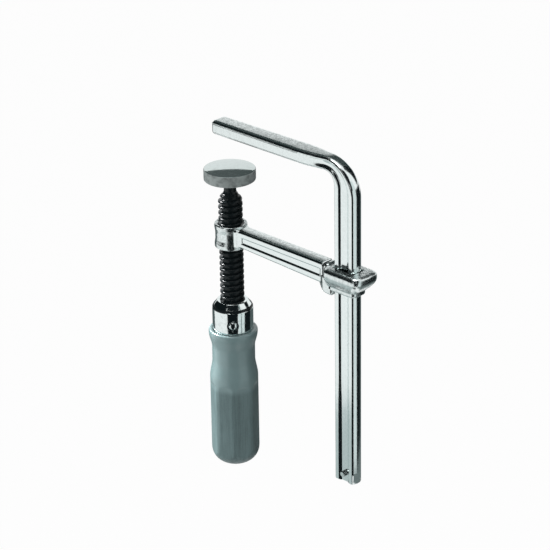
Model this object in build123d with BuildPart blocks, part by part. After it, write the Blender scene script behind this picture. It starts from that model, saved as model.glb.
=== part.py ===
from build123d import *
import math
import os

# F clamp: a bent rail with a fixed jaw, and an arm that slides on it and carries the screw.
#
# Frame: the origin is the middle of the fixed jaw's clamping face, on the screw's axis.
# +Z runs up the rail, +X points from the screw to the rail. Sizes are in millimetres.

os.makedirs("parts", exist_ok=True)

# ---- Driving dimensions: rail and fixed jaw ----
THROAT = 95.0  # screw axis to the rail's inner face
RAIL_WIDTH = 17.6  # along X
RAIL_THICKNESS = 8.8  # along Y
RAIL_CORNER = 1.5  # rounding of the rail's four edges
RAIL_BOTTOM = -213.0  # lower end of the rail
GROOVE_WIDTH = 7.0  # groove down each broad side
GROOVE_DEPTH = 1.2
JAW_HEIGHT = 9.0
JAW_WIDTH = 14.4
JAW_TIP_WIDTH = 13.2
JAW_OVERHANG = 10.0  # jaw tip beyond the screw axis
JAW_TIP_ROUND = 2.0  # plan rounding of the tip's corners
JAW_TIP_LOW_ROUND = 3.0  # side rounding of the tip's lower edge
JAW_TIP_TOP_ROUND = 2.2
INNER_BEND = 8.0
OUTER_BEND = 24.0
FLARE_LENGTH = 26.0  # over which the rail spreads out into the jaw
STOP_PIN_RADIUS = 2.0
STOP_PIN_PROUD = 1.6
STOP_PIN_TO_END = 6.0  # pin axis above the rail's end

# ---- Driving dimensions: sliding arm ----
HUB_TOP = -61.1
HUB_HEIGHT = 16.2
HUB_RADIUS = 10.8
HUB_WAIST = 0.5  # how far the hub's middle stands back
ARM_TOP_DROP = 0.9  # arm's top below the hub's rim
ARM_WIDTH = 10.0
ARM_HEIGHT_AT_HUB = 11.6
ARM_HEIGHT_AT_EYE = 15.2
TOP_FLANGE = 3.6  # height of the arm's upper rib
BOTTOM_FLANGE_AT_HUB = 1.9
BOTTOM_FLANGE_AT_EYE = 4.8
WEB_RECESS = 1.3  # depth of the hollow in each side of the arm
EYE_TOP_DROP = 2.2  # eye's top below the hub's rim
EYE_INNER_WALL = 6.4
EYE_OUTER_WALL = 8.6
EYE_SIDE_WALL = 6.2
EYE_BAND = 4.0  # upright band round the eye's top
EYE_FOOT_WALL = 1.7  # wall left at the eye's foot
EYE_TAPER = 9.2  # height of the tapering part
EYE_FOOT = 3.0  # height of the foot
HEEL_DROP = 3.2  # heel below the foot
EYE_CLEARANCE = 0.35  # rail to eye, all round
EYE_SHOULDER = 4.6  # length over which the beam widens into the eye
EYE_END_BOW = 1.0  # how far the eye's end bows outwards
EYE_STEP = 0.5  # beam's top above the eye's top
HUB_RIM = 2.4  # plain rim above and below the hub's waist
HUB_ROUND = 0.8
ARM_ROUND = 1.5
WEB_MARGIN = 3.0  # hollow's ends, clear of hub and eye
WEB_CORNER = 0.8
WEB_DRAFT = 30.0  # slope of the hollow's walls, degrees
HEEL_LAND = 1.6
HEEL_REACH = 5.0
NOTCH_WIDTH = 2.4

# ---- Driving dimensions: screw ----
THREAD_RADIUS = 8.0
PITCH = 4.0
THREAD_DEPTH = 2.25
THREAD_FLANK_ANGLE = 15.0
THREAD_CLEARANCE = 0.25  # screw to nut, all round
THREAD_TOP = -41.0  # where the thread starts to grow from the neck
THREAD_RUN_IN = 3.6
THREAD_BOTTOM = -117.0
NECK_RADIUS = 4.1
HEAD_RADIUS = 6.0
SHANK_RADIUS = 6.0
SHANK_BOTTOM = -176.0

# ---- Driving dimensions: pad and its swivel ----
PAD_TOP = -22.4
PAD_RADIUS = 17.0
PAD_RIM = 8.1
PAD_SKIRT_RADIUS = 9.4
PAD_SKIRT_HEIGHT = 1.2
PAD_UNDERSIDE = 1.5  # height of the conical underside
PAD_BORE = 6.7
PAD_ROUND = 0.7
SKIRT_ROUND = 0.4
BALL_RADIUS = 2.5
BALL_BELOW_PAD_TOP = 4.6
BALL_CLEARANCE = 0.05
HEAD_BELOW_BALL = 0.5  # head's top face below the ball's centre
HEAD_THICKNESS = 2.2
HEAD_TAPER = 0.8
TILT_ROOM = 1.1  # head's top face to the pad's inner ceiling
RING_BELOW_BALL = 4.1
RING_THICKNESS = 0.9
RING_INNER = 5.1
RING_GROOVE = 0.8
RING_GAP = 2.4

# ---- Driving dimensions: ferrule, pin and handle ----
FERRULE_TOP = -116.0
FERRULE_CONE = 5.4
FERRULE_CONE_TOP_RADIUS = 9.4
FERRULE_RADIUS = 13.6
FERRULE_LENGTH = 22.6
FERRULE_SEAT_DEPTH = 2.0  # how far the ferrule sits in the handle
FERRULE_WALL = 1.8
FERRULE_CAP = 3.2
FERRULE_LINE = 0.5  # fine groove where the cone meets the cylinder
FERRULE_HOLE_CLEARANCE = 0.2
PIN_BELOW_FERRULE_TOP = 14.2
PIN_RADIUS = 2.8
PIN_PROUD = 0.5
PIN_SINK_RADIUS = 3.9
PIN_SINK_DEPTH = 0.9
PIN_ROUND = 1.4
PIN_ANGLE = -45.0  # direction of the cross pin about the screw axis
LIP_OVERHANG = 2.7  # lip beyond the ferrule, all round
LIP_HEIGHT = 4.6
LIP_ROUND = 1.2
WAIST_RADIUS = 14.3
BODY_RADIUS = 16.4
BODY_FLATS = 8
FLAT_DEPTH = 0.75
WAIST_START = 13.0  # lip's top to the waist
WAIST_LENGTH = 14.0
BODY_FLARE = 10.0  # waist's end to the full body
HANDLE_LENGTH = 99.6
DOME_HEIGHT = 13.0
DOME_LAND_RADIUS = 3.0  # small flat at the handle's end
FIT = 0.05  # close fit between pieces that don't move on each other

# ---- Places worked out from the sizes ----
LIP_RADIUS = FERRULE_RADIUS + LIP_OVERHANG
RAIL_INNER = THROAT
RAIL_OUTER = THROAT + RAIL_WIDTH
RAIL_MIDDLE = THROAT + RAIL_WIDTH / 2
BEND_BOTTOM = min(JAW_HEIGHT - OUTER_BEND, -INNER_BEND)
FLARE_END = THROAT - FLARE_LENGTH
HUB_BOTTOM = HUB_TOP - HUB_HEIGHT
ARM_TOP = HUB_TOP - ARM_TOP_DROP
EYE_TOP = HUB_TOP - EYE_TOP_DROP
EYE_TAPER_TOP = EYE_TOP - EYE_BAND
EYE_TAPER_BOTTOM = EYE_TAPER_TOP - EYE_TAPER
EYE_BOTTOM = EYE_TAPER_BOTTOM - EYE_FOOT
HEEL_BOTTOM = EYE_BOTTOM - HEEL_DROP
EYE_INNER = RAIL_INNER - EYE_CLEARANCE - EYE_INNER_WALL
EYE_OUTER = RAIL_OUTER + EYE_CLEARANCE + EYE_OUTER_WALL
EYE_HALF_WIDTH = RAIL_THICKNESS / 2 + EYE_CLEARANCE + EYE_SIDE_WALL
FOOT_HALF_WIDTH = RAIL_THICKNESS / 2 + EYE_CLEARANCE + EYE_FOOT_WALL
FOOT_OUTER = RAIL_OUTER + EYE_CLEARANCE + EYE_FOOT_WALL
ROOT_RADIUS = THREAD_RADIUS - THREAD_DEPTH
BALL_Z = PAD_TOP - BALL_BELOW_PAD_TOP
HEAD_TOP = BALL_Z - HEAD_BELOW_BALL
PAD_CEILING = HEAD_TOP + TILT_ROOM
RING_TOP = BALL_Z - RING_BELOW_BALL
PAD_RIM_BOTTOM = PAD_TOP - PAD_RIM
PAD_BOTTOM = PAD_RIM_BOTTOM - PAD_UNDERSIDE - PAD_SKIRT_HEIGHT
FERRULE_BOTTOM = FERRULE_TOP - FERRULE_LENGTH
LIP_TOP = FERRULE_BOTTOM + FERRULE_SEAT_DEPTH
TENON_TOP = FERRULE_TOP - FERRULE_CAP
FERRULE_INSIDE_CONE_BOTTOM = FERRULE_TOP - FERRULE_CONE - FERRULE_CAP / 2
TENON_RADIUS = FERRULE_RADIUS - FERRULE_WALL - FIT
PIN_Z = FERRULE_TOP - PIN_BELOW_FERRULE_TOP
PIN_DIRECTION = Vector(1, 0, 0).rotate(Axis.Z, PIN_ANGLE)
FLANK_SLOPE = math.tan(math.radians(THREAD_FLANK_ANGLE))
THREAD_HALF_CREST = 0.183 * PITCH
NUT_HALF_CREST = THREAD_HALF_CREST + THREAD_CLEARANCE * (
    1 / math.cos(math.radians(THREAD_FLANK_ANGLE)) - FLANK_SLOPE
)
NUT_TURNS_UP = math.floor((HUB_BOTTOM - THREAD_BOTTOM) / PITCH) - 1
WAIST_TOP = LIP_TOP - WAIST_START
WAIST_BOTTOM = WAIST_TOP - WAIST_LENGTH
BODY_TOP = WAIST_BOTTOM - BODY_FLARE
HANDLE_BOTTOM = LIP_TOP - HANDLE_LENGTH
DOME_TOP = HANDLE_BOTTOM + DOME_HEIGHT


def export(part, label):
    """Name a finished piece and write it to its own file."""
    part.label = label
    export_step(part, f"parts/{label}.step")


def thread_ridge(root, depth, half_crest, bottom, length):
    """Helical ridge with sloping flanks, standing on a cylinder of the root radius."""
    overlap = 0.4
    half_root = half_crest + (depth + overlap) * FLANK_SLOPE
    with BuildPart() as ridge:
        with BuildLine(Plane.XY.offset(bottom)) as helix:
            Helix(pitch=PITCH, height=length, radius=root)
        start = Plane(origin=helix.line @ 0, x_dir=(1, 0, 0), z_dir=helix.line % 0)
        with BuildSketch(start):
            with BuildLine():
                Polyline(
                    (-overlap, -half_root),
                    (depth, -half_crest),
                    (depth, half_crest),
                    (-overlap, half_root),
                    close=True,
                )
            make_face()
        sweep(path=helix.line, is_frenet=True)
    return ridge.part


# ---- Rail and fixed jaw ----
GROOVE_FLOOR = RAIL_THICKNESS / 2 - GROOVE_DEPTH
GROOVE_FADE = 9.0  # where the groove runs out, inside the bend
GROOVE_RAMP_IN = 3.0  # where the rising floor begins, past the rail's inner face
GROOVE_IN = RAIL_MIDDLE - GROOVE_WIDTH / 2
GROOVE_OUT = RAIL_MIDDLE + GROOVE_WIDTH / 2
GROOVE_TURN = RAIL_INNER - INNER_BEND + 1.0  # where the groove lies level in the jaw
GROOVE_LEVEL_LOW = 0.3 * JAW_HEIGHT
GROOVE_LEVEL_HIGH = 0.68 * JAW_HEIGHT
LOW_ARC = GROOVE_IN - GROOVE_TURN
HIGH_ARC = GROOVE_OUT - GROOVE_TURN

with BuildPart() as groove:
    with BuildSketch(Plane.XZ.offset(GROOVE_FLOOR)):
        with BuildLine():
            Line((GROOVE_IN, RAIL_BOTTOM - 1), (GROOVE_OUT, RAIL_BOTTOM - 1))
            Line((GROOVE_OUT, RAIL_BOTTOM - 1), (GROOVE_OUT, GROOVE_LEVEL_HIGH - HIGH_ARC))
            TangentArc(
                (GROOVE_OUT, GROOVE_LEVEL_HIGH - HIGH_ARC),
                (GROOVE_TURN, GROOVE_LEVEL_HIGH),
                tangent=(0, 1),
            )
            Line((GROOVE_TURN, GROOVE_LEVEL_HIGH), (GROOVE_TURN - GROOVE_FADE, GROOVE_LEVEL_HIGH))
            Line(
                (GROOVE_TURN - GROOVE_FADE, GROOVE_LEVEL_HIGH),
                (GROOVE_TURN - GROOVE_FADE, GROOVE_LEVEL_LOW),
            )
            Line((GROOVE_TURN - GROOVE_FADE, GROOVE_LEVEL_LOW), (GROOVE_TURN, GROOVE_LEVEL_LOW))
            TangentArc(
                (GROOVE_TURN, GROOVE_LEVEL_LOW),
                (GROOVE_IN, GROOVE_LEVEL_LOW - LOW_ARC),
                tangent=(1, 0),
            )
            Line((GROOVE_IN, GROOVE_LEVEL_LOW - LOW_ARC), (GROOVE_IN, RAIL_BOTTOM - 1))
        make_face()
    extrude(amount=JAW_WIDTH)
    # the floor climbs outwards past the bend, so that the groove fades into the jaw
    with BuildSketch(Plane.XY.offset(-1)):
        with BuildLine():
            Polyline(
                (RAIL_INNER + GROOVE_RAMP_IN, -GROOVE_FLOOR + 1),
                (RAIL_INNER + GROOVE_RAMP_IN, -GROOVE_FLOOR),
                (GROOVE_TURN - 0.6 * GROOVE_FADE, -JAW_WIDTH / 2),
                (GROOVE_TURN - 2 * GROOVE_FADE, -JAW_WIDTH / 2),
                (GROOVE_TURN - 2 * GROOVE_FADE, -GROOVE_FLOOR + 1),
                close=True,
            )
        make_face()
    extrude(amount=JAW_HEIGHT + 2, mode=Mode.SUBTRACT)

with BuildPart() as rail:
    with BuildSketch(Plane.XZ):
        with BuildLine():
            Line((-JAW_OVERHANG, 0), (RAIL_INNER - INNER_BEND, 0))
            TangentArc((RAIL_INNER - INNER_BEND, 0), (RAIL_INNER, -INNER_BEND), tangent=(1, 0))
            Polyline(
                (RAIL_INNER, -INNER_BEND),
                (RAIL_INNER, BEND_BOTTOM - 1),
                (RAIL_OUTER, BEND_BOTTOM - 1),
                (RAIL_OUTER, JAW_HEIGHT - OUTER_BEND),
            )
            TangentArc(
                (RAIL_OUTER, JAW_HEIGHT - OUTER_BEND),
                (RAIL_OUTER - OUTER_BEND, JAW_HEIGHT),
                tangent=(0, 1),
            )
            Polyline(
                (RAIL_OUTER - OUTER_BEND, JAW_HEIGHT),
                (-JAW_OVERHANG, JAW_HEIGHT),
                (-JAW_OVERHANG, 0),
            )
        make_face()
        fillet(vertices().group_by(Axis.X)[0].sort_by(Axis.Y)[0], JAW_TIP_LOW_ROUND)
        fillet(vertices().group_by(Axis.X)[0].sort_by(Axis.Y)[-1], JAW_TIP_TOP_ROUND)
    extrude(amount=JAW_WIDTH / 2, both=True)
    # plan shape: parallel rail, smooth flare, wide jaw with a rounded tip
    with BuildSketch(Plane.XY.offset(BEND_BOTTOM - 1)):
        with BuildLine():
            upper = Spline(
                (RAIL_INNER, RAIL_THICKNESS / 2),
                (FLARE_END, JAW_WIDTH / 2),
                tangents=((-1, 0), (-1, 0)),
            )
            Line((FLARE_END, JAW_WIDTH / 2), (-JAW_OVERHANG + JAW_TIP_ROUND, JAW_TIP_WIDTH / 2))
            RadiusArc(
                (-JAW_OVERHANG + JAW_TIP_ROUND, JAW_TIP_WIDTH / 2),
                (-JAW_OVERHANG, JAW_TIP_WIDTH / 2 - JAW_TIP_ROUND),
                -JAW_TIP_ROUND,
            )
            Line((-JAW_OVERHANG, JAW_TIP_WIDTH / 2 - JAW_TIP_ROUND), (-JAW_OVERHANG, 0))
            Polyline(
                (-JAW_OVERHANG, 0),
                (RAIL_OUTER, 0),
                (RAIL_OUTER, RAIL_THICKNESS / 2),
                (RAIL_INNER, RAIL_THICKNESS / 2),
            )
        make_face()
        mirror(about=Plane.XZ)
    extrude(amount=JAW_HEIGHT - BEND_BOTTOM + 2, mode=Mode.INTERSECT)
    lower_face = rail.faces().sort_by(Axis.Z)[0]
    long_edges = rail.edges() - lower_face.edges() - rail.edges().filter_by(Axis.Y)
    fillet(long_edges, RAIL_CORNER)
    with BuildSketch(Plane.XY.offset(BEND_BOTTOM - 1)):
        with Locations((RAIL_MIDDLE, 0)):
            RectangleRounded(RAIL_WIDTH, RAIL_THICKNESS, RAIL_CORNER)
    extrude(amount=RAIL_BOTTOM - BEND_BOTTOM + 1)
    add(groove.part, mode=Mode.SUBTRACT)
    add(groove.part.mirror(Plane.XZ), mode=Mode.SUBTRACT)
    with BuildSketch(Plane.XZ):
        with Locations((RAIL_MIDDLE, RAIL_BOTTOM + STOP_PIN_TO_END)):
            Circle(STOP_PIN_RADIUS)
    extrude(amount=RAIL_THICKNESS, both=True, mode=Mode.SUBTRACT)
export(rail.part, "rail")


# ---- Stop pin at the rail's lower end ----
with BuildPart() as rail_stop_pin:
    with BuildSketch(Plane.XZ):
        with Locations((RAIL_MIDDLE, RAIL_BOTTOM + STOP_PIN_TO_END)):
            Circle(STOP_PIN_RADIUS - FIT)
    extrude(amount=RAIL_THICKNESS / 2 + STOP_PIN_PROUD, both=True)
    chamfer(rail_stop_pin.edges().filter_by(GeomType.CIRCLE), 0.4)
export(rail_stop_pin.part, "rail_stop_pin")


# ---- Sliding arm: threaded hub, beam and eye ----
def eye_outline(half_width, outer, shoulder):
    """Plan shape of the eye: shoulders from the beam, straight sides, a slightly bowed end."""
    neck = ARM_WIDTH / 2
    with BuildLine() as outline:
        Line((EYE_INNER, -neck), (EYE_INNER, neck))
        Line((EYE_INNER, neck), (EYE_INNER + shoulder, half_width))
        Line((EYE_INNER + shoulder, half_width), (outer - EYE_END_BOW, half_width))
        ThreePointArc(
            (outer - EYE_END_BOW, half_width), (outer, 0), (outer - EYE_END_BOW, -half_width)
        )
        Line((outer - EYE_END_BOW, -half_width), (EYE_INNER + shoulder, -half_width))
        Line((EYE_INNER + shoulder, -half_width), (EYE_INNER, -neck))
    return outline.line


ARM_END = EYE_INNER + EYE_INNER_WALL / 2  # where the beam is sunk into the eye
ARM_END_TOP = EYE_TOP + EYE_STEP
ARM_SIDE = ARM_WIDTH / 2 - WEB_RECESS
WEB_START = HUB_RADIUS + WEB_MARGIN
WEB_END = EYE_INNER - WEB_MARGIN

with BuildPart() as sliding_arm:
    with BuildSketch(Plane.XZ):
        Polygon(
            (0, ARM_TOP),
            (ARM_END, ARM_END_TOP),
            (ARM_END, ARM_END_TOP - ARM_HEIGHT_AT_EYE),
            (0, ARM_TOP - ARM_HEIGHT_AT_HUB),
            align=None,
        )
    extrude(amount=ARM_WIDTH / 2, both=True)
    fillet(sliding_arm.edges().filter_by(Axis.Y, reverse=True).filter_by(Axis.Z, reverse=True), ARM_ROUND)
    # a hollow in each side leaves an upper and a lower rib
    with BuildSketch(Plane.XZ.offset(ARM_SIDE)):
        Polygon(
            (WEB_START, ARM_TOP - TOP_FLANGE),
            (WEB_END, ARM_END_TOP - TOP_FLANGE),
            (WEB_END, ARM_END_TOP - ARM_HEIGHT_AT_EYE + BOTTOM_FLANGE_AT_EYE),
            (WEB_START, ARM_TOP - ARM_HEIGHT_AT_HUB + BOTTOM_FLANGE_AT_HUB),
            align=None,
        )
        fillet(vertices(), WEB_CORNER)
    extrude(amount=2 * WEB_RECESS, taper=-WEB_DRAFT, mode=Mode.SUBTRACT)
    with BuildSketch(Plane.XZ.offset(-ARM_SIDE)):
        Polygon(
            (WEB_START, ARM_TOP - TOP_FLANGE),
            (WEB_END, ARM_END_TOP - TOP_FLANGE),
            (WEB_END, ARM_END_TOP - ARM_HEIGHT_AT_EYE + BOTTOM_FLANGE_AT_EYE),
            (WEB_START, ARM_TOP - ARM_HEIGHT_AT_HUB + BOTTOM_FLANGE_AT_HUB),
            align=None,
        )
        fillet(vertices(), WEB_CORNER)
    extrude(amount=-2 * WEB_RECESS, taper=-WEB_DRAFT, mode=Mode.SUBTRACT)
    # eye: upright band, tapering skirt, foot against the rail
    with BuildSketch(Plane.XY.offset(EYE_TAPER_TOP)):
        make_face(eye_outline(EYE_HALF_WIDTH, EYE_OUTER, EYE_SHOULDER))
    extrude(amount=EYE_BAND)
    with BuildSketch(Plane.XY.offset(EYE_TAPER_TOP)):
        make_face(eye_outline(EYE_HALF_WIDTH, EYE_OUTER, EYE_SHOULDER))
    with BuildSketch(Plane.XY.offset(EYE_TAPER_BOTTOM)):
        make_face(eye_outline(FOOT_HALF_WIDTH, FOOT_OUTER, EYE_SHOULDER))
    loft()
    with BuildSketch(Plane.XY.offset(EYE_TAPER_BOTTOM)):
        make_face(eye_outline(FOOT_HALF_WIDTH, FOOT_OUTER, EYE_SHOULDER))
    extrude(amount=-EYE_FOOT)
    # heel below the arm, against the rail's inner face
    with BuildSketch(Plane.XZ):
        with BuildLine():
            Line((RAIL_INNER, EYE_TAPER_TOP), (RAIL_INNER, HEEL_BOTTOM))
            Line((RAIL_INNER, HEEL_BOTTOM), (RAIL_INNER - HEEL_LAND, HEEL_BOTTOM))
            TangentArc(
                (RAIL_INNER - HEEL_LAND, HEEL_BOTTOM),
                (EYE_INNER - HEEL_REACH, ARM_END_TOP - ARM_HEIGHT_AT_EYE + 1),
                tangent=(-1, 0),
            )
            Line(
                (EYE_INNER - HEEL_REACH, ARM_END_TOP - ARM_HEIGHT_AT_EYE + 1),
                (RAIL_INNER, EYE_TAPER_TOP),
            )
        make_face()
    extrude(amount=FOOT_HALF_WIDTH, both=True)
    # hub
    with BuildSketch(Plane.XZ):
        with BuildLine():
            Polyline((HUB_RADIUS, HUB_TOP - HUB_RIM), (HUB_RADIUS, HUB_TOP), (0, HUB_TOP))
            Polyline((0, HUB_TOP), (0, HUB_BOTTOM), (HUB_RADIUS, HUB_BOTTOM))
            Line((HUB_RADIUS, HUB_BOTTOM), (HUB_RADIUS, HUB_BOTTOM + HUB_RIM))
            ThreePointArc(
                (HUB_RADIUS, HUB_BOTTOM + HUB_RIM),
                (HUB_RADIUS - HUB_WAIST, (HUB_TOP + HUB_BOTTOM) / 2),
                (HUB_RADIUS, HUB_TOP - HUB_RIM),
            )
        make_face()
    revolve(axis=Axis.Z)
    hub_rims = sliding_arm.edges().filter_by(GeomType.CIRCLE).filter_by(
        lambda e: abs(e.radius - HUB_RADIUS) < 1e-3 and e.center().Z > HUB_TOP - 1e-3
    )
    fillet(hub_rims, HUB_ROUND)
    # shallow groove across the top, where the beam meets the eye
    with BuildSketch(Plane.XZ):
        with Locations((EYE_INNER - NOTCH_WIDTH / 2, ARM_END_TOP)):
            Circle(NOTCH_WIDTH / 2)
    extrude(amount=ARM_WIDTH, both=True, mode=Mode.SUBTRACT)
    # window for the rail
    with BuildSketch(Plane.XY.offset(EYE_TOP + 1)):
        with Locations((RAIL_MIDDLE, 0)):
            Rectangle(RAIL_WIDTH + 2 * EYE_CLEARANCE, RAIL_THICKNESS + 2 * EYE_CLEARANCE)
    extrude(amount=HEEL_BOTTOM - EYE_TOP - 2, mode=Mode.SUBTRACT)
    # threaded hole
    with BuildSketch(Plane.XY.offset(HUB_BOTTOM - 1)):
        Circle(ROOT_RADIUS + THREAD_CLEARANCE)
    extrude(amount=HUB_HEIGHT + 2, mode=Mode.SUBTRACT)
    add(
        thread_ridge(
            ROOT_RADIUS,
            THREAD_DEPTH + THREAD_CLEARANCE,
            NUT_HALF_CREST,
            THREAD_BOTTOM + NUT_TURNS_UP * PITCH,
            HUB_HEIGHT + 3 * PITCH,
        ),
        mode=Mode.SUBTRACT,
    )
export(sliding_arm.part, "sliding_arm")

# ---- Spindle: head, neck, thread and shank ----
with BuildPart() as spindle_thread:
    add(
        thread_ridge(
            ROOT_RADIUS, THREAD_DEPTH, THREAD_HALF_CREST, THREAD_BOTTOM, THREAD_TOP - THREAD_BOTTOM
        )
    )
    # a cone trims the first turns, so the thread grows out of the neck
    run_in_slope = THREAD_RUN_IN / (THREAD_RADIUS - NECK_RADIUS)
    with BuildSketch(Plane.XZ):
        Polygon(
            (0, THREAD_TOP),
            (NECK_RADIUS, THREAD_TOP),
            (2 * THREAD_RADIUS, THREAD_TOP - run_in_slope * (2 * THREAD_RADIUS - NECK_RADIUS)),
            (2 * THREAD_RADIUS, THREAD_BOTTOM),
            (0, THREAD_BOTTOM),
            align=None,
        )
    revolve(axis=Axis.Z, mode=Mode.INTERSECT)

with BuildPart() as spindle:
    with BuildSketch(Plane.XZ):
        Polygon(
            (0, HEAD_TOP),
            (HEAD_RADIUS, HEAD_TOP),
            (HEAD_RADIUS, HEAD_TOP - HEAD_THICKNESS),
            (NECK_RADIUS, HEAD_TOP - HEAD_THICKNESS - HEAD_TAPER),
            (NECK_RADIUS, THREAD_TOP),
            (ROOT_RADIUS, THREAD_TOP - THREAD_RUN_IN / 2),
            (ROOT_RADIUS, THREAD_BOTTOM),
            (SHANK_RADIUS, THREAD_BOTTOM),
            (SHANK_RADIUS, SHANK_BOTTOM),
            (0, SHANK_BOTTOM),
            align=None,
        )
    revolve(axis=Axis.Z)
    add(spindle_thread.part)
    with Locations((0, 0, BALL_Z)):
        Sphere(BALL_RADIUS + BALL_CLEARANCE, mode=Mode.SUBTRACT)
    with BuildSketch(Plane(origin=(0, 0, PIN_Z), z_dir=PIN_DIRECTION)):
        Circle(PIN_RADIUS + FIT)
    extrude(amount=THREAD_RADIUS, both=True, mode=Mode.SUBTRACT)
export(spindle.part, "spindle")

# ---- Pad with its ball and retaining ring ----
with BuildPart() as thrust_ball:
    with Locations((0, 0, BALL_Z)):
        Sphere(BALL_RADIUS)
export(thrust_ball.part, "thrust_ball")

with BuildPart() as pressure_plate:
    with BuildSketch(Plane.XZ):
        with BuildLine():
            Polyline((0, PAD_CEILING), (0, PAD_TOP), (PAD_RADIUS, PAD_TOP))
            Polyline(
                (PAD_RADIUS, PAD_TOP),
                (PAD_RADIUS, PAD_RIM_BOTTOM),
                (PAD_SKIRT_RADIUS, PAD_RIM_BOTTOM - PAD_UNDERSIDE),
                (PAD_SKIRT_RADIUS, PAD_BOTTOM),
                (PAD_BORE, PAD_BOTTOM),
                (PAD_BORE, PAD_CEILING),
                (0, PAD_CEILING),
            )
        make_face()
        fillet(vertices().group_by(Axis.X)[-1], PAD_ROUND)
        fillet(vertices().group_by(Axis.Y)[0].sort_by(Axis.X)[-1], SKIRT_ROUND)
    revolve(axis=Axis.Z)
    with Locations((0, 0, BALL_Z)):
        Sphere(BALL_RADIUS + BALL_CLEARANCE, mode=Mode.SUBTRACT)
    with BuildSketch(Plane.XY.offset(RING_TOP + FIT)):
        Circle(PAD_BORE + RING_GROOVE)
    extrude(amount=-RING_THICKNESS - 2 * FIT, mode=Mode.SUBTRACT)
export(pressure_plate.part, "pressure_plate")

with BuildPart() as pad_retaining_ring:
    with BuildSketch(Plane.XY.offset(RING_TOP)):
        Circle(PAD_BORE + RING_GROOVE - FIT)
        Circle(RING_INNER, mode=Mode.SUBTRACT)
        with Locations((PAD_BORE, 0)):
            Rectangle(PAD_BORE, RING_GAP, mode=Mode.SUBTRACT)
    extrude(amount=-RING_THICKNESS)
export(pad_retaining_ring.part, "pad_retaining_ring")

# ---- Ferrule, cross pin and handle ----
with BuildPart() as ferrule:
    with BuildSketch(Plane.XZ):
        Polygon(
            (THREAD_RADIUS + FERRULE_HOLE_CLEARANCE, FERRULE_TOP),
            (FERRULE_CONE_TOP_RADIUS, FERRULE_TOP),
            (FERRULE_RADIUS - FERRULE_LINE, FERRULE_TOP - FERRULE_CONE),
            (FERRULE_RADIUS - FERRULE_LINE, FERRULE_TOP - FERRULE_CONE - FERRULE_LINE),
            (FERRULE_RADIUS, FERRULE_TOP - FERRULE_CONE - 2 * FERRULE_LINE),
            (FERRULE_RADIUS, FERRULE_BOTTOM),
            (FERRULE_RADIUS - FERRULE_WALL, FERRULE_BOTTOM),
            (FERRULE_RADIUS - FERRULE_WALL, FERRULE_INSIDE_CONE_BOTTOM),
            (FERRULE_CONE_TOP_RADIUS, TENON_TOP),
            (THREAD_RADIUS + FERRULE_HOLE_CLEARANCE, TENON_TOP),
            align=None,
        )
    revolve(axis=Axis.Z)
    with BuildSketch(Plane(origin=(0, 0, PIN_Z), z_dir=PIN_DIRECTION)):
        Circle(PIN_RADIUS + FIT)
    extrude(amount=2 * FERRULE_RADIUS, both=True, mode=Mode.SUBTRACT)
    # a shallow counterbore round each end of the pin
    for side in (1, -1):
        seat = Plane(origin=(0, 0, PIN_Z), z_dir=PIN_DIRECTION * side).offset(
            FERRULE_RADIUS - PIN_SINK_DEPTH
        )
        with BuildSketch(seat):
            Circle(PIN_SINK_RADIUS)
        extrude(amount=FERRULE_RADIUS, mode=Mode.SUBTRACT)
export(ferrule.part, "ferrule")

with BuildPart() as handle_pin:
    with BuildSketch(Plane(origin=(0, 0, PIN_Z), z_dir=PIN_DIRECTION)):
        Circle(PIN_RADIUS)
    extrude(amount=FERRULE_RADIUS + PIN_PROUD, both=True)
    fillet(handle_pin.edges().filter_by(GeomType.CIRCLE), PIN_ROUND)
export(handle_pin.part, "handle_pin")

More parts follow.
